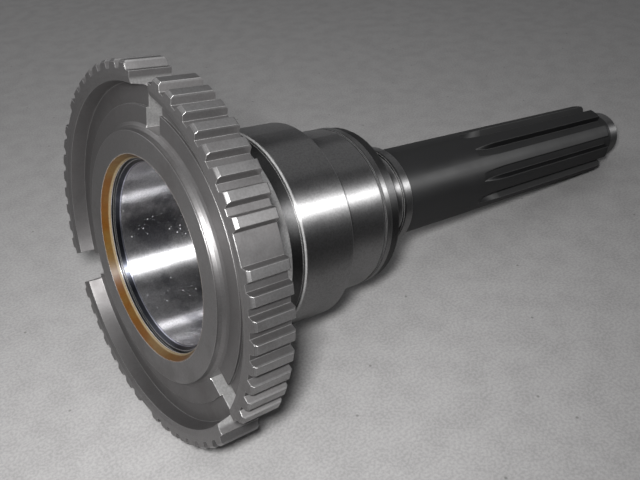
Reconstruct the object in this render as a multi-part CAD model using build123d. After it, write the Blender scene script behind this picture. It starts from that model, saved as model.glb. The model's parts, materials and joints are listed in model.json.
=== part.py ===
from build123d import *
import math
import os

# Input shaft of a truck gearbox, lying on a floor as it comes to rest.
# Each piece is turned about local Z: Z = 0 is the front face of the toothed ring, and the
# splined end points along +Z. Local +X is the side that ends up on top. All sizes are in mm.

# Toothed ring, radial sizes
tip_diameter = 180.0
tooth_height = 3.7
rim_bore_diameter = 162.0
bevel_width = 2.5
outer_web_diameter = 141.2
boss_fillet = 3.9
rim_back_bore_diameter = 159.0

# Toothed ring, depths behind its front face
ring_width = 19.7
bevel_depth = 0.7
boss_depth = 2.45
web_depth = 6.4
outer_web_drop = 1.2
web_thickness = 9.6
rim_wall_draft = 1.2
hub_length = 45.75
hub_fillet = 9.0
hub_end_chamfer = 0.5
hub_flare_length = 14.25

# Teeth, in three equal sectors, each with a plain land in the middle and a slot at its ends
sector_count = 3
teeth_beside_land = 8
land_gap_pitches = 2
slot_gap_pitches = 3
tooth_tip_width = 4.0
tooth_flank_angle = 18.0
tooth_chamfer = 1.1

# Slots through the web and the rim
web_slot_width = 11.4
boss_to_slot = 1.9
rim_slot_width = 16.3
rim_slot_inner_radius = 79.5

# Sleeve round the raceway: its bore's steps and the walls outside it, as radial heights
raceway_diameter = 88.0
entry_height = 1.6
ring_groove_height = 3.4
mouth_inner_height = 2.4
mouth_height = 5.0
seat_wall = 5.3
seat_clearance = 0.02
neck_wall = 5.8
hub_wall = 6.5
drum_wall = 7.5
hub_root_wall = 12.0
boss_wall = 15.6

# Shaft diameters past the sleeve
journal_diameter = 88.2
ridge_diameter = 88.2
shoulder_diameter = 86.8
groove_depth = 0.8
waist_corner_diameter = 61.6
waist_diameter = 55.0
inner_collar_diameter = 56.0
outer_collar_diameter = 57.0
shaft_diameter = 50.8
pilot_diameter = 34.0

# Shaft stations, distances behind the front face of the ring
drum_start = 54.5
journal_start = 85.0
groove_start = 111.4
ridge_start = 113.3
ridge_end = 117.0
shoulder_end = 123.5
waist_corner_station = 127.0
waist_start = 134.8
inner_collar_start = 136.3
collar_groove_start = 141.0
outer_collar_start = 142.2
outer_collar_end = 148.7
spline_start = 239.0
spline_end = 360.5
pilot_end = 388.0

# Edges of the shaft
drum_front_chamfer = 1.1
drum_back_chamfer = 1.5
shoulder_fillet = 2.4
waist_fillet = 12.0
spline_end_chamfer = 2.0
pilot_chamfer = 2.2
centre_diameter = 11.0
centre_angle = 60.0
centre_drill_diameter = 4.0
centre_drill_depth = 12.0

# Splines
spline_count = 10
spline_width = 7.9
spline_depth = 4.7
spline_cutter_radius = 60.0
spline_cutter_turn = 60.0

# Bore, depths behind the front face of the ring
mouth_end = 6.8
ring_groove_end = 8.3
raceway_start = 11.0
bore_end = 62.0

# Short cones that make up one turned curve
cones_per_curve = 3
cones_per_small_curve = 2

tip_radius = tip_diameter / 2
root_radius = tip_radius - tooth_height
pitches_per_sector = land_gap_pitches + 2 * (teeth_beside_land - 1) + slot_gap_pitches
pitch_angle = 360 / (sector_count * pitches_per_sector)
sector_angle = 360 / sector_count
raceway_radius = raceway_diameter / 2
seat_radius = raceway_radius + seat_wall
boss_radius = raceway_radius + boss_wall
web_slot_inner_radius = boss_radius + boss_to_slot
hub_back = boss_depth + hub_length
shaft_radius = shaft_diameter / 2
spline_angle = 360 / spline_count
through = 1.0


def turned(points):
    """A solid turned about Z from (radius, depth) corners."""
    return revolve(Plane.XZ * make_face(Polyline(*points, close=True)), Axis.Z)


def eased(before, corner, after, radius, cones=cones_per_curve):
    """A corner rounded to a radius: the ends of the short cones that touch its arc."""
    here = Vector(*corner)
    back = (Vector(*before) - here).normalized()
    onward = (Vector(*after) - here).normalized()
    half_opening = math.radians(back.get_angle(onward)) / 2
    step = (math.pi / 2 - half_opening) / (cones + 1)
    centre = here + (back + onward).normalized() * (radius / math.sin(half_opening))
    inward = (here - centre).normalized()
    across = (onward - inward * onward.dot(inward)).normalized()
    reach = radius / math.cos(step)
    corners = []
    for index in range(cones + 1):
        angle = (2 * index - cones) * step
        point = centre + (inward * math.cos(angle) + across * math.sin(angle)) * reach
        corners.append((point.X, point.Y))
    return corners


def ring_blank():
    """The turned blank of the toothed ring: hub, dished web and rim."""
    seat = seat_radius + seat_clearance
    outer_web = outer_web_diameter / 2
    rim = rim_bore_diameter / 2
    web_floor = web_depth + outer_web_drop
    web_back = web_depth + web_thickness
    hub_end = raceway_radius + hub_wall
    hub_root = raceway_radius + hub_root_wall
    rim_back = rim_back_bore_diameter / 2
    boss_edge = (boss_radius, boss_depth)
    web_edge = (outer_web, web_depth)
    hub_corner = (hub_root, web_back)
    hub_flare_end = (hub_end, hub_back - hub_flare_length)
    back_outer_corner = (rim_back, web_back)
    points = [
        (seat, boss_depth),
        boss_edge,
        *eased(boss_edge, (boss_radius, web_depth), web_edge, boss_fillet),
        web_edge,
        (outer_web, web_floor),
        (rim - rim_wall_draft, web_floor),
        (rim, bevel_depth),
        (rim + bevel_width, 0),
        (tip_radius - tooth_chamfer, 0),
        (tip_radius, tooth_chamfer),
        (tip_radius, ring_width - tooth_chamfer),
        (tip_radius - tooth_chamfer, ring_width),
        (rim_back, ring_width),
        back_outer_corner,
        *eased(back_outer_corner, hub_corner, hub_flare_end, hub_fillet, cones_per_small_curve),
        hub_flare_end,
        (hub_end, hub_back - hub_end_chamfer),
        (hub_end - hub_end_chamfer, hub_back),
        (seat, hub_back),
    ]
    return turned(points)


def tooth_angles():
    """Angles of the teeth about the axis. A slot is at 0 and a plain land half a sector on."""
    angles = []
    for sector in range(sector_count):
        land = (sector + 0.5) * sector_angle
        for index in range(teeth_beside_land):
            offset = (land_gap_pitches / 2 + index) * pitch_angle
            angles.append(land - offset)
            angles.append(land + offset)
    return angles


def tooth_spaces():
    """What the cutter takes away between the teeth, through the whole width."""
    slope = math.tan(math.radians(tooth_flank_angle))
    outer = tip_radius + through
    inner = root_radius - through
    half_outer = tooth_tip_width / 2 - through * slope
    half_inner = tooth_tip_width / 2 + (tooth_height + through) * slope
    tooth = Polygon(
        (inner, -half_inner),
        (outer, -half_outer),
        (outer, half_outer),
        (inner, half_inner),
        align=None,
    )
    spaces = Circle(outer) - Circle(root_radius)
    spaces -= [Rot(0, 0, angle) * tooth for angle in tooth_angles()]
    return extrude(spaces, ring_width)


def ring_slots():
    """The slots that take the lugs of the mating ring, wider in the rim than in the web."""
    reach = tip_radius + through
    web_length = reach - web_slot_inner_radius
    rim_length = reach - rim_slot_inner_radius
    web_part = Pos(web_slot_inner_radius + web_length / 2, 0) * Rectangle(web_length, web_slot_width)
    rim_part = Pos(rim_slot_inner_radius + rim_length / 2, 0) * Rectangle(rim_length, rim_slot_width)
    slot = extrude(web_part + rim_part, ring_width)
    return [Rot(0, 0, sector * sector_angle) * slot for sector in range(sector_count)]


def toothed_ring():
    """The ring with its teeth cut and its slots milled."""
    return ring_blank() - tooth_spaces() - ring_slots()


def shaft_blank():
    """The turned outside of the shaft, from the ring's seat to the pilot."""
    neck = raceway_radius + neck_wall
    drum = raceway_radius + drum_wall
    journal = journal_diameter / 2
    ridge = ridge_diameter / 2
    shoulder = shoulder_diameter / 2
    waist = waist_diameter / 2
    inner_collar = inner_collar_diameter / 2
    outer_collar = outer_collar_diameter / 2
    pilot = pilot_diameter / 2
    ridge_foot = (shoulder, ridge_end)
    shoulder_corner = (shoulder, shoulder_end)
    waist_corner = (waist_corner_diameter / 2, waist_corner_station)
    waist_end = (waist, waist_start)
    points = [
        (0, boss_depth),
        (seat_radius, boss_depth),
        (seat_radius, hub_back),
        (neck, hub_back),
        (neck, drum_start),
        (drum - drum_front_chamfer, drum_start),
        (drum, drum_start + drum_front_chamfer),
        (drum, journal_start - drum_back_chamfer),
        (drum - drum_back_chamfer, journal_start),
        (journal, journal_start),
        (journal, groove_start),
        (journal - groove_depth, groove_start),
        (journal - groove_depth, ridge_start),
        (ridge, ridge_start),
        (ridge, ridge_end),
        ridge_foot,
        *eased(ridge_foot, shoulder_corner, waist_corner, shoulder_fillet, cones_per_small_curve),
        *eased(shoulder_corner, waist_corner, waist_end, waist_fillet),
        waist_end,
        (waist, inner_collar_start),
        (inner_collar, inner_collar_start),
        (inner_collar, collar_groove_start),
        (inner_collar - groove_depth, collar_groove_start),
        (inner_collar - groove_depth, outer_collar_start),
        (outer_collar, outer_collar_start),
        (outer_collar, outer_collar_end),
        (shaft_radius, outer_collar_end),
        (shaft_radius, spline_end - spline_end_chamfer),
        (shaft_radius - spline_end_chamfer, spline_end),
        (pilot, spline_end),
        (pilot, pilot_end - pilot_chamfer),
        (pilot - pilot_chamfer, pilot_end),
        (0, pilot_end),
    ]
    return turned(points)


def bore():
    """The space inside the sleeve: mouth cone, ring groove, entry cone and raceway."""
    mouth = raceway_radius + mouth_height
    mouth_inner = raceway_radius + mouth_inner_height
    ring_groove = raceway_radius + ring_groove_height
    entry = raceway_radius + entry_height
    points = [
        (0, boss_depth - through),
        (mouth, boss_depth - through),
        (mouth, boss_depth),
        (mouth_inner, mouth_end),
        (ring_groove, mouth_end),
        (ring_groove, ring_groove_end),
        (entry, ring_groove_end),
        (raceway_radius, raceway_start),
        (raceway_radius, bore_end),
        (0, bore_end),
    ]
    return turned(points)


def spline_groove():
    """One milled groove, centred on local +X, with the run-out of its round cutter."""
    root = shaft_radius - spline_depth
    outer = shaft_radius + through
    half_pitch = math.radians(spline_angle / 2)
    half_width = spline_width / 2
    root_angle = half_pitch - math.asin(half_width / root)
    outer_angle = half_pitch - math.asin(half_width / outer)
    root_x = root * math.cos(root_angle)
    root_y = root * math.sin(root_angle)
    outer_x = outer * math.cos(outer_angle)
    outer_y = outer * math.sin(outer_angle)
    section = make_face(
        Polyline((root_x, -root_y), (outer_x, -outer_y), (outer_x, outer_y), (root_x, root_y), close=True)
    )
    section = Pos(0, 0, spline_start) * section
    straight = extrude(section, spline_end + through - spline_start, dir=(0, 0, 1))
    cutter_axis = Axis((root_x + spline_cutter_radius, 0, spline_start), (0, 1, 0))
    run_out = revolve(section, cutter_axis, revolution_arc=-spline_cutter_turn)
    return straight + run_out


def centre_hole():
    """The lathe centre in the end of the pilot: a cone with a drilled hole at its bottom."""
    radius = centre_diameter / 2
    drill = centre_drill_diameter / 2
    depth = (radius - drill) / math.tan(math.radians(centre_angle / 2))
    points = [
        (0, pilot_end),
        (radius, pilot_end),
        (drill, pilot_end - depth),
        (drill, pilot_end - centre_drill_depth),
        (0, pilot_end - centre_drill_depth),
    ]
    return turned(points)


def input_shaft():
    """The forged shaft with its bore and splines."""
    grooves = [Rot(0, 0, index * spline_angle) * spline_groove() for index in range(spline_count)]
    return shaft_blank() - bore() - grooves - centre_hole()


def resting_place():
    """Lies on the two teeth beside the lowest land and on the two splines beside the lowest groove."""
    tooth_inner_angle = land_gap_pitches / 2 * pitch_angle
    tooth_inner_angle -= math.degrees(math.asin(tooth_tip_width / 2 / tip_radius))
    spline_inner_angle = spline_angle / 2
    spline_inner_angle -= math.degrees(math.asin(spline_width / 2 / shaft_radius))
    ring_drop = tip_radius * math.cos(math.radians(tooth_inner_angle))
    shaft_drop = shaft_radius * math.cos(math.radians(spline_inner_angle))
    ring_station = ring_width - tooth_chamfer
    shaft_station = spline_end - spline_end_chamfer
    tilt = math.degrees(math.atan((ring_drop - shaft_drop) / (shaft_station - ring_station)))
    upright = Plane(origin=(0, 0, 0), x_dir=(0, 0, 1), z_dir=(1, 0, 0)).location
    return Rot(0, tilt, 0) * upright


pieces = {
    "toothed_ring": toothed_ring(),
    "input_shaft": input_shaft(),
}
resting = resting_place()
lying = {}
for name, piece in pieces.items():
    lying[name] = resting * piece
box = Compound(list(lying.values())).bounding_box()
to_origin = Pos(-box.center().X, -box.center().Y, -box.min.Z)

os.makedirs("parts", exist_ok=True)
for name, piece in lying.items():
    placed = to_origin * piece
    export_step(placed, "parts/" + name + ".step")
    print(name, round(placed.volume / 1000, 1), "cm3")
print("box", box.size)
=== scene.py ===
import bpy
import json
import math
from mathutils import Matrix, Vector

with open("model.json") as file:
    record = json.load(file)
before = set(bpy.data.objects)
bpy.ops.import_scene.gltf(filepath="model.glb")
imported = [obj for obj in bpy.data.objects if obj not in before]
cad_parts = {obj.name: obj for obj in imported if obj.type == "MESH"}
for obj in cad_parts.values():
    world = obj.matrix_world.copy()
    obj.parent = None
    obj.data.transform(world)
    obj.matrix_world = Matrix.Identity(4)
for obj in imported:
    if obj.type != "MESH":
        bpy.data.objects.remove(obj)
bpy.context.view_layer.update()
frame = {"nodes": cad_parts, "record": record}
print("frame loaded:", ", ".join(sorted(frame["nodes"])))

bpy.ops.object.select_all(action="DESELECT")

# the shaft's own line, from the ring's front face towards the splines
shaftLine = {"ringHalfWidth": 0.00985}
mounts = {mount["name"]: mount for mount in frame["record"]["mounts"]}
along = Vector(mounts["pilot"]["axis"])
ringFront = Vector(mounts["ring_teeth"]["pos_m"]) - along * shaftLine["ringHalfWidth"]
tilt = math.asin(-along.z)

camera = {
    "place": (-0.27681, -0.25689, 0.28398),
    "turn": (54.428, 2.628, -39.189),
    "lens": 39.884,
    "sensor": 36,
    "nearest": 0.01,
}
cameraData = bpy.data.cameras.new("camera")
cameraData.lens = camera["lens"]
cameraData.sensor_width = camera["sensor"]
cameraData.clip_start = camera["nearest"]
cameraObject = bpy.data.objects.new("camera", cameraData)
cameraObject.location = camera["place"]
cameraObject.rotation_euler = [math.radians(angle) for angle in camera["turn"]]
bpy.context.scene.collection.objects.link(cameraObject)
bpy.context.scene.camera = cameraObject
print("camera placed")


def addNode(tree, kind, **settings):
    node = tree.nodes.new(kind)
    for name, value in settings.items():
        setattr(node, name, value)
    return node


def feed(tree, node, socket, source):
    # a number, colour or vector is typed in, and another node's output is linked
    if isinstance(source, bpy.types.NodeSocket):
        tree.links.new(source, node.inputs[socket])
    else:
        node.inputs[socket].default_value = source


def maths(tree, operation, first, second=None):
    node = addNode(tree, "ShaderNodeMath", operation=operation)
    feed(tree, node, 0, first)
    if second is not None:
        feed(tree, node, 1, second)
    return node.outputs[0]


def vectorMaths(tree, operation, first, second=None):
    node = addNode(tree, "ShaderNodeVectorMath", operation=operation)
    feed(tree, node, 0, first)
    if second is not None:
        feed(tree, node, 1, second)
    return node.outputs["Value" if operation in ("DOT_PRODUCT", "LENGTH") else "Vector"]


def ramp(tree, value, low, high, fromValue=0.0, toValue=1.0):
    node = addNode(tree, "ShaderNodeMapRange", interpolation_type="SMOOTHSTEP")
    feed(tree, node, "Value", value)
    feed(tree, node, "From Min", low)
    feed(tree, node, "From Max", high)
    feed(tree, node, "To Min", fromValue)
    feed(tree, node, "To Max", toValue)
    return node.outputs["Result"]


def fade(tree, value, low, high):
    # 1 below low, 0 above high
    return ramp(tree, value, low, high, 1.0, 0.0)


def band(tree, value, low, high, edge):
    # 1 between low and high, 0 outside, with soft ends
    rise = ramp(tree, value, low - edge, low + edge)
    return maths(tree, "MULTIPLY", rise, fade(tree, value, high - edge, high + edge))


def mixColor(tree, factor, first, second):
    node = addNode(tree, "ShaderNodeMix", data_type="RGBA")
    feed(tree, node, 0, factor)
    feed(tree, node, 6, first)
    feed(tree, node, 7, second)
    return node.outputs[2]


def mixValue(tree, factor, first, second):
    node = addNode(tree, "ShaderNodeMix", data_type="FLOAT")
    feed(tree, node, 0, factor)
    feed(tree, node, 2, first)
    feed(tree, node, 3, second)
    return node.outputs[0]


def addNoise(tree, place, scale, **settings):
    # its further settings are the sockets' own names
    node = addNode(tree, "ShaderNodeTexNoise")
    feed(tree, node, "Vector", place)
    feed(tree, node, "Scale", scale)
    for name, value in settings.items():
        feed(tree, node, name, value)
    return node.outputs[0]


def addCells(tree, place, scale, dimensions="3D"):
    # how far a point is from the middle of its cell
    node = addNode(tree, "ShaderNodeTexVoronoi", voronoi_dimensions=dimensions, feature="F1")
    feed(tree, node, "Vector", place)
    feed(tree, node, "Scale", scale)
    return node.outputs["Distance"]


def openGroup(name, takes, gives):
    tree = bpy.data.node_groups.new(name, "ShaderNodeTree")
    for label, kind, value in takes:
        socket = tree.interface.new_socket(label, in_out="INPUT", socket_type=kind)
        socket.default_value = value
    for label, kind in gives:
        tree.interface.new_socket(label, in_out="OUTPUT", socket_type=kind)
    return tree, addNode(tree, "NodeGroupInput"), addNode(tree, "NodeGroupOutput")


def useGroup(tree, group, **values):
    node = addNode(tree, "ShaderNodeGroup", node_tree=group)
    for label, source in values.items():
        feed(tree, node, label, source)
    return node


millimetre = 0.001


def makeShaftPlaces():
    # where a point lies: its station along the shaft and its radius, in millimetres, and its angle round it
    tree, _, result = openGroup("shaftPlaces", [], [
        ("Station", "NodeSocketFloat"),
        ("Radius", "NodeSocketFloat"),
        ("Around", "NodeSocketFloat"),
    ])
    coords = addNode(tree, "ShaderNodeTexCoord")
    line = addNode(tree, "ShaderNodeMapping", vector_type="TEXTURE")
    feed(tree, line, "Vector", coords.outputs["Object"])
    feed(tree, line, "Location", ringFront)
    feed(tree, line, "Rotation", (0, tilt, 0))
    feed(tree, line, "Scale", (millimetre, millimetre, millimetre))
    parts = addNode(tree, "ShaderNodeSeparateXYZ")
    feed(tree, parts, "Vector", line.outputs["Vector"])
    spoke = addNode(tree, "ShaderNodeCombineXYZ")
    feed(tree, spoke, "Y", parts.outputs["Y"])
    feed(tree, spoke, "Z", parts.outputs["Z"])
    sideways = maths(tree, "MULTIPLY", parts.outputs["Y"], -1.0)
    feed(tree, result, "Station", parts.outputs["X"])
    feed(tree, result, "Radius", vectorMaths(tree, "LENGTH", spoke.outputs["Vector"]))
    feed(tree, result, "Around", maths(tree, "ARCTAN2", sideways, parts.outputs["Z"]))
    return tree


markLook = {"detail": 3.0, "roughness": 0.6}


def makeTurnedMarks(look):
    # fine rings left by the lathe or the grinding wheel
    tree, given, result = openGroup("turnedMarks", [
        ("Station", "NodeSocketFloat", 0.0),
        ("Radius", "NodeSocketFloat", 0.0),
        ("Around", "NodeSocketFloat", 0.0),
        ("Fineness", "NodeSocketFloat", 2.0),
    ], [("Rings", "NodeSocketFloat")])
    fineness = given.outputs["Fineness"]
    place = addNode(tree, "ShaderNodeCombineXYZ")
    feed(tree, place, "X", maths(tree, "MULTIPLY", given.outputs["Station"], fineness))
    feed(tree, place, "Y", maths(tree, "MULTIPLY", given.outputs["Radius"], fineness))
    feed(tree, place, "Z", maths(tree, "SINE", given.outputs["Around"]))
    rings = addNoise(tree, place.outputs["Vector"], 1.0, Detail=look["detail"], Roughness=look["roughness"])
    feed(tree, result, "Rings", rings)
    return tree


handlingLook = {
    "cloudScale": 38.0, "cloudDetail": 5.0, "cloudRoughness": 0.62,
    "grainScale": 1100.0, "grainDetail": 2.0,
    "spotScale": 330.0, "spotReach": (0.08, 0.13),
    "sparseScale": 150.0, "sparseReach": (0.38, 0.48),
}


def makeHandling(look):
    # what use leaves on steel: cloudy film, fine grain and small spots
    tree, _, result = openGroup("handling", [], [
        ("Cloud", "NodeSocketFloat"),
        ("Grain", "NodeSocketFloat"),
        ("Spots", "NodeSocketFloat"),
    ])
    place = addNode(tree, "ShaderNodeTexCoord").outputs["Object"]
    detail, roughness = look["cloudDetail"], look["cloudRoughness"]
    cloud = addNoise(tree, place, look["cloudScale"], Detail=detail, Roughness=roughness)
    near = fade(tree, addCells(tree, place, look["spotScale"]), *look["spotReach"])
    chosen = ramp(tree, addNoise(tree, place, look["sparseScale"]), *look["sparseReach"])
    feed(tree, result, "Cloud", cloud)
    feed(tree, result, "Grain", addNoise(tree, place, look["grainScale"], Detail=look["grainDetail"]))
    feed(tree, result, "Spots", maths(tree, "MULTIPLY", near, chosen))
    return tree


edgeLook = {"samples": 6, "width": 0.0004, "bent": (0.9, 0.998)}


def makeWornEdges(look):
    # edges rounded by a hair, and a mask that shows where they are
    tree, given, result = openGroup("wornEdges", [
        ("Width", "NodeSocketFloat", look["width"]),
    ], [("Edge", "NodeSocketFloat"), ("Normal", "NodeSocketVector")])
    bevel = addNode(tree, "ShaderNodeBevel", samples=look["samples"])
    feed(tree, bevel, "Radius", given.outputs["Width"])
    surface = addNode(tree, "ShaderNodeNewGeometry")
    same = vectorMaths(tree, "DOT_PRODUCT", bevel.outputs["Normal"], surface.outputs["Normal"])
    feed(tree, result, "Edge", fade(tree, same, *look["bent"]))
    feed(tree, result, "Normal", bevel.outputs["Normal"])
    return tree


shaftPlaces = makeShaftPlaces()
turnedMarks = makeTurnedMarks(markLook)
handling = makeHandling(handlingLook)
wornEdges = makeWornEdges(edgeLook)
print("shared effects built")


def startMaterial(name):
    mat = bpy.data.materials.new(name)
    mat.use_nodes = True
    tree = mat.node_tree
    return mat, tree, tree.nodes["Principled BSDF"]


def startSteel(tree, look):
    # the shared effects as a steel uses them
    place = useGroup(tree, shaftPlaces)
    station, radius, around = (place.outputs[name] for name in ("Station", "Radius", "Around"))
    fineness = look["marksFineness"]
    marks = useGroup(tree, turnedMarks, Station=station, Radius=radius, Around=around, Fineness=fineness)
    film = useGroup(tree, handling)
    edges = useGroup(tree, wornEdges, Width=look["edgeWidth"])
    return station, radius, marks, film, edges


def roundTheShaft(tree, surface):
    # the direction that a turning mark follows at this point
    fromAxis = vectorMaths(tree, "SUBTRACT", surface.outputs["Position"], ringFront)
    return vectorMaths(tree, "NORMALIZE", vectorMaths(tree, "CROSS_PRODUCT", along, fromAxis))


def acrossTheMarks(tree):
    # the direction in the surface that runs straight across the turning marks
    surface = addNode(tree, "ShaderNodeNewGeometry")
    across = vectorMaths(tree, "CROSS_PRODUCT", surface.outputs["Normal"], roundTheShaft(tree, surface))
    return vectorMaths(tree, "NORMALIZE", across)


def facesRound(tree, facing):
    # 1 on walls that stand across the turning marks, such as a slot's sides
    surface = addNode(tree, "ShaderNodeNewGeometry")
    same = vectorMaths(tree, "DOT_PRODUCT", surface.outputs["True Normal"], roundTheShaft(tree, surface))
    return ramp(tree, maths(tree, "ABSOLUTE", same), *facing)


def addBump(tree, shader, height, depth, strength, normal):
    bump = addNode(tree, "ShaderNodeBump")
    feed(tree, bump, "Height", height)
    feed(tree, bump, "Distance", depth)
    feed(tree, bump, "Strength", strength)
    if normal is not None:
        feed(tree, bump, "Normal", normal)
    feed(tree, shader, "Normal", bump.outputs["Normal"])


# lengths in millimetres, except the depths and the edges' width, which are in metres
ringFinish = {
    "face": (0.2, 0.195, 0.195, 1),
    "web": (0.168, 0.163, 0.163, 1),
    "tips": (0.27, 0.266, 0.266, 1),
    "hub": (0.78, 0.775, 0.77, 1),
    "edges": (0.55, 0.545, 0.54, 1),
    "stain": (0.12, 0.112, 0.11, 1),
    "slotWalls": (0.6, 0.595, 0.59, 1),
    "metallic": 0.9,
    "anisotropic": 0.5,
    "roughness": 0.43,
    "webRoughness": 0.48,
    "hubRoughness": 0.4,
    "slotRoughness": 0.36,
    "webRadii": (61.5, 81.0), "webFade": 0.6,
    "tipRadii": (89.0, 89.4),
    "hubStations": (33.9, 48.4), "hubFade": 0.2,
    "slotRadii": (82.0, 84.0), "slotFacing": (0.6, 0.8),
    "stainClouds": (0.48, 0.72), "stainMost": 0.55,
    "grainReach": (0.3, 0.7), "grainMost": 0.25, "grainHeight": 0.4,
    "uneven": (0.3, 0.8, -0.05, 0.08),
    "edgeWidth": 0.0004,
    "edgeWear": 0.4,
    "marksFineness": 3.0,
    "marksDepth": 0.00004,
    "marksStrength": 0.6,
}


def makeRingSteel(look):
    mat, tree, shader = startMaterial("ringSteel")
    station, radius, marks, film, edges = startSteel(tree, look)
    web = band(tree, radius, *look["webRadii"], look["webFade"])
    tips = ramp(tree, radius, *look["tipRadii"])
    hub = band(tree, station, *look["hubStations"], look["hubFade"])
    innerPart = fade(tree, radius, *look["slotRadii"])
    slotWall = maths(tree, "MULTIPLY", facesRound(tree, look["slotFacing"]), innerPart)
    color = mixColor(tree, web, look["face"], look["web"])
    color = mixColor(tree, tips, color, look["tips"])
    color = mixColor(tree, hub, color, look["hub"])
    color = mixColor(tree, slotWall, color, look["slotWalls"])
    stained = ramp(tree, film.outputs["Cloud"], *look["stainClouds"], 0.0, look["stainMost"])
    color = mixColor(tree, stained, color, look["stain"])
    grain = ramp(tree, film.outputs["Grain"], *look["grainReach"], 0.0, look["grainMost"])
    color = mixColor(tree, grain, color, look["stain"])
    worn = maths(tree, "MULTIPLY", edges.outputs["Edge"], look["edgeWear"])
    color = mixColor(tree, worn, color, look["edges"])
    rough = mixValue(tree, web, look["roughness"], look["webRoughness"])
    rough = mixValue(tree, hub, rough, look["hubRoughness"])
    rough = mixValue(tree, slotWall, rough, look["slotRoughness"])
    rough = maths(tree, "ADD", rough, ramp(tree, film.outputs["Cloud"], *look["uneven"]))
    feed(tree, shader, "Base Color", color)
    feed(tree, shader, "Metallic", look["metallic"])
    feed(tree, shader, "Roughness", rough)
    feed(tree, shader, "Anisotropic", look["anisotropic"])
    feed(tree, shader, "Tangent", acrossTheMarks(tree))
    grainHeight = maths(tree, "MULTIPLY", film.outputs["Grain"], look["grainHeight"])
    height = maths(tree, "ADD", marks.outputs["Rings"], grainHeight)
    addBump(tree, shader, height, look["marksDepth"], look["marksStrength"], edges.outputs["Normal"])
    return mat


# lengths in millimetres, except the depth and the edges' width, which are in metres
shaftFinish = {
    # station where each outside finish starts, and how bright it is ground there, 0 dark to 1 bright
    "outside": [
        (0.0, 0.35), (54.5, 1.0), (111.4, 0.1), (113.3, 0.85), (117.0, 0.3), (122.6, 0.08),
        (136.2, 0.9), (141.0, 0.25), (142.2, 0.9), (148.8, 0.0), (360.4, 0.12), (376.5, 0.7),
    ],
    "length": 400.0,
    "dark": (0.012, 0.012, 0.0125, 1),
    "bright": (0.25, 0.248, 0.249, 1),
    "metalFrom": (0.02, 0.2),
    "darkRoughness": 0.7,
    "brightRoughness": 0.45,
    # painted highlight: the drum's front chamfer is coloured as a bright line all the way round
    "chamferHighlight": (0.36, 0.358, 0.355, 1),
    "chamferStations": (54.85, 55.45), "chamferFade": 0.05,
    "chamferRadii": (50.2, 50.4),
    "insideRadii": (49.1, 49.2), "insideEnd": (62.2, 62.4),
    "raceway": (0.78, 0.775, 0.79, 1),
    "racewayFilm": (0.36, 0.36, 0.385, 1), "racewayClouds": (0.45, 0.62),
    "racewayRoughness": 0.34,
    "bottom": (0.08, 0.08, 0.08, 1), "bottomStations": (59.9, 60.1),
    "entry": (0.07, 0.074, 0.09, 1), "entryStations": (8.3, 11.0), "entryFade": 0.1,
    # painted highlight: a thin bright ring along the raceway's front edge
    "line": (0.6, 0.61, 0.72, 1), "lineStations": (10.3, 10.8), "lineFade": 0.15,
    # painted shade: the groove inside the mouth is coloured near black
    "grooveShade": (0.03, 0.03, 0.034, 1), "grooveShadeStations": (6.8, 8.3), "grooveShadeFade": 0.1,
    "amber": (0.095, 0.052, 0.012, 1), "amberStations": (2.0, 6.6), "amberFade": 0.08,
    "amberDeep": (0.085, 0.031, 0.003, 1), "amberClouds": (0.42, 0.6),
    "amberPale": (0.2, 0.155, 0.09, 1), "paleStations": (5.6, 6.5), "paleFade": 0.3,
    "amberMetal": 0.0,
    "amberRoughness": 0.5,
    "amberCoat": 0.1, "coatRoughness": 0.2,
    "grainReach": (0.35, 0.7), "grainMost": 0.2,
    "dust": (0.5, 0.5, 0.52, 1), "dustStations": (11.0, 12.0), "dustMost": 0.8,
    "edges": (0.55, 0.545, 0.54, 1), "edgeWear": (0.0, 0.3, 0.1, 0.5),
    "edgeMetal": 0.45, "edgeMetalReach": (0.2, 0.9),
    "uneven": (0.3, 0.8, -0.04, 0.08),
    "anisotropic": 1.0,
    "edgeWidth": 0.0004,
    "marksFineness": 5.0,
    "marksDepth": 0.00002,
    "marksStrength": 0.5,
}


def addPolish(tree, station, look):
    # how bright the outside is ground, step by step along the shaft
    zones = addNode(tree, "ShaderNodeValToRGB")
    zones.color_ramp.interpolation = "CONSTANT"
    stops = zones.color_ramp.elements
    while len(stops) < len(look["outside"]):
        stops.new(0.5)
    for stop, (start, polish) in zip(stops, look["outside"]):
        stop.position = start / look["length"]
        stop.color = (polish, polish, polish, 1)
    feed(tree, zones, "Fac", maths(tree, "DIVIDE", station, look["length"]))
    return zones.outputs["Color"]


def addBoreColor(tree, station, film, amberHere, look):
    # the ground raceway, its far end, and the rings of other finish at its mouth, with a painted highlight
    # line along the raceway's front edge and painted shade in the groove
    cloud = film.outputs["Cloud"]
    ground = mixColor(tree, ramp(tree, cloud, *look["racewayClouds"]), look["raceway"], look["racewayFilm"])
    color = mixColor(tree, ramp(tree, station, *look["bottomStations"]), ground, look["bottom"])
    # the entry ring is other finish; the thin bright line is a painted highlight and the groove's dark ring
    # is painted shade
    for name in ("entry", "line", "grooveShade"):
        here = band(tree, station, *look[name + "Stations"], look[name + "Fade"])
        color = mixColor(tree, here, color, look[name])
    amber = mixColor(tree, ramp(tree, cloud, *look["amberClouds"]), look["amber"], look["amberDeep"])
    pale = band(tree, station, *look["paleStations"], look["paleFade"])
    amber = mixColor(tree, pale, amber, look["amberPale"])
    return mixColor(tree, amberHere, color, amber)


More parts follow.
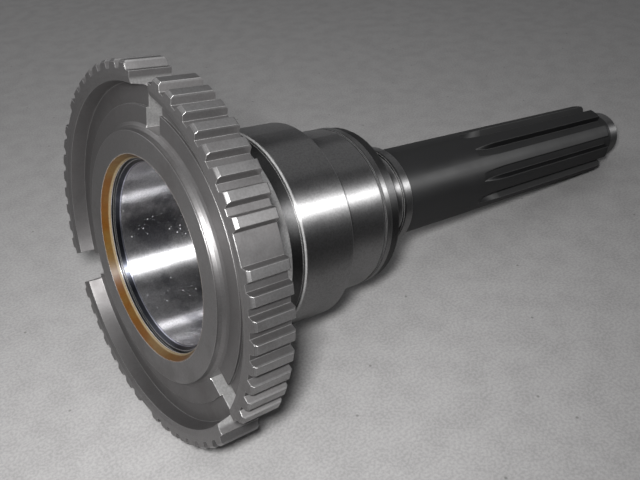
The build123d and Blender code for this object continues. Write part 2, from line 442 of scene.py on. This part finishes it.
def makeShaftSteel(look):
    mat, tree, shader = startMaterial("shaftSteel")
    station, radius, marks, film, edges = startSteel(tree, look)
    # outside
    polish = addPolish(tree, station, look)
    metal = ramp(tree, polish, *look["metalFrom"])
    color = mixColor(tree, polish, look["dark"], look["bright"])
    rough = mixValue(tree, polish, look["darkRoughness"], look["brightRoughness"])
    # painted highlight along the drum's front chamfer, made less metallic so that it stays bright all round
    chamferHighlightBand = band(tree, station, *look["chamferStations"], look["chamferFade"])
    chamferHighlight = maths(tree, "MULTIPLY", chamferHighlightBand, ramp(tree, radius, *look["chamferRadii"]))
    color = mixColor(tree, chamferHighlight, color, look["chamferHighlight"])
    metal = mixValue(tree, chamferHighlight, metal, look["edgeMetal"])
    # inside the sleeve
    inside = maths(
        tree, "MULTIPLY", fade(tree, radius, *look["insideRadii"]), fade(tree, station, *look["insideEnd"]))
    amberHere = band(tree, station, *look["amberStations"], look["amberFade"])
    color = mixColor(tree, inside, color, addBoreColor(tree, station, film, amberHere, look))
    insideRough = mixValue(tree, amberHere, look["racewayRoughness"], look["amberRoughness"])
    rough = mixValue(tree, inside, rough, insideRough)
    metal = mixValue(tree, inside, metal, mixValue(tree, amberHere, 1.0, look["amberMetal"]))
    # grain, dust and worn edges
    grain = ramp(tree, film.outputs["Grain"], *look["grainReach"], 0.0, look["grainMost"])
    color = mixColor(tree, grain, color, look["dark"])
    dusty = maths(tree, "MULTIPLY", inside, ramp(tree, station, *look["dustStations"]))
    specks = maths(tree, "MULTIPLY", film.outputs["Spots"], dusty)
    color = mixColor(tree, maths(tree, "MULTIPLY", specks, look["dustMost"]), color, look["dust"])
    metal = maths(tree, "MULTIPLY", metal, maths(tree, "SUBTRACT", 1.0, specks))
    edge = edges.outputs["Edge"]
    worn = maths(tree, "MULTIPLY", edge, ramp(tree, polish, *look["edgeWear"]))
    color = mixColor(tree, worn, color, look["edges"])
    rough = maths(tree, "ADD", rough, ramp(tree, film.outputs["Cloud"], *look["uneven"]))
    edgeMetal = ramp(tree, edge, *look["edgeMetalReach"], 1.0, look["edgeMetal"])
    metal = maths(tree, "MULTIPLY", metal, edgeMetal)
    coat = maths(tree, "MULTIPLY", maths(tree, "MULTIPLY", inside, amberHere), look["amberCoat"])
    feed(tree, shader, "Base Color", color)
    feed(tree, shader, "Metallic", metal)
    feed(tree, shader, "Roughness", rough)
    feed(tree, shader, "Anisotropic", look["anisotropic"])
    feed(tree, shader, "Tangent", acrossTheMarks(tree))
    feed(tree, shader, "Coat Weight", coat)
    feed(tree, shader, "Coat Roughness", look["coatRoughness"])
    normal = edges.outputs["Normal"]
    addBump(tree, shader, marks.outputs["Rings"], look["marksDepth"], look["marksStrength"], normal)
    return mat


finishes = {"toothed_ring": makeRingSteel(ringFinish), "input_shaft": makeShaftSteel(shaftFinish)}
for name, node in frame["nodes"].items():
    for slot in node.material_slots:
        slot.material = finishes[name]
print("steel finished")

floorLook = {
    "size": 6.0,
    "color": (0.38, 0.373, 0.371, 1),
    "worn": (0.285, 0.28, 0.278, 1),
    "pits": (0.1, 0.098, 0.095, 1),
    "roughness": 0.85,
    "mottleScale": 60.0, "mottleDetail": 6.0, "mottleReach": (0.35, 0.7), "mottleMost": 0.35,
    "grainScale": 700.0, "grainDetail": 3.0, "grainReach": (0.35, 0.65), "grainMost": 0.65,
    "pitScale": 15.0, "pitReach": (0.006, 0.016), "pitMost": 0.6,
    "grainDepth": 0.00015,
    "grainStrength": 0.5,
}


def makeFloorPaint(look):
    mat, tree, shader = startMaterial("floorPaint")
    place = addNode(tree, "ShaderNodeTexCoord").outputs["Object"]
    mottle = addNoise(tree, place, look["mottleScale"], Detail=look["mottleDetail"])
    grain = addNoise(tree, place, look["grainScale"], Detail=look["grainDetail"])
    pits = addCells(tree, place, look["pitScale"], "2D")
    mottled = ramp(tree, mottle, *look["mottleReach"], 0.0, look["mottleMost"])
    grained = ramp(tree, grain, *look["grainReach"], 0.0, look["grainMost"])
    color = mixColor(tree, maths(tree, "ADD", mottled, grained), look["color"], look["worn"])
    pitted = ramp(tree, pits, *look["pitReach"], look["pitMost"], 0.0)
    color = mixColor(tree, pitted, color, look["pits"])
    feed(tree, shader, "Base Color", color)
    feed(tree, shader, "Roughness", look["roughness"])
    addBump(tree, shader, grain, look["grainDepth"], look["grainStrength"], None)
    return mat


bpy.ops.mesh.primitive_plane_add(size=floorLook["size"], location=(0, 0, 0))
floor = bpy.context.object
floor.name = "floor"
floor.data.materials.append(makeFloorPaint(floorLook))

lamps = {
    "main": {
        "place": (-0.2938, -0.2452, 0.3169), "aim": (0.0, 0.5, 0.1),
        "size": (0.045, 0.045), "watts": 2.6, "spread": 155,
    },
    "overhead": {
        "place": (0.0, 0.1, 1.5), "aim": (0.0, 0.0, 0.0),
        "size": (1.2, 1.2), "watts": 3.4, "spread": 180,
    },
    "back": {
        "place": (-1.1, 1.3, 0.8), "aim": (0.0, 0.0, 0.05),
        "size": (1.2, 1.2), "watts": 6.5, "spread": 180,
    },
}
for name, look in lamps.items():
    data = bpy.data.lights.new(name, "AREA")
    data.shape = "RECTANGLE"
    data.size, data.size_y = look["size"]
    data.energy = look["watts"]
    data.spread = math.radians(look["spread"])
    lamp = bpy.data.objects.new(name, data)
    lamp.location = look["place"]
    ray = Vector(look["aim"]) - Vector(look["place"])
    lamp.rotation_euler = ray.to_track_quat("-Z", "Y").to_euler()
    bpy.context.scene.collection.objects.link(lamp)

worldLook = {"color": (0.95, 0.96, 1.0, 1), "strength": 0.1, "backdrop": 0.45}
world = bpy.data.worlds.new("studio")
bpy.context.scene.world = world
world.use_nodes = True
worldTree = world.node_tree
background = worldTree.nodes["Background"]
seen = addNode(worldTree, "ShaderNodeLightPath").outputs["Is Camera Ray"]
brightness = mixValue(worldTree, seen, worldLook["strength"], worldLook["backdrop"])
feed(worldTree, background, "Color", worldLook["color"])
feed(worldTree, background, "Strength", brightness)
bpy.context.scene.view_settings.view_transform = "Standard"
print("light and floor placed")
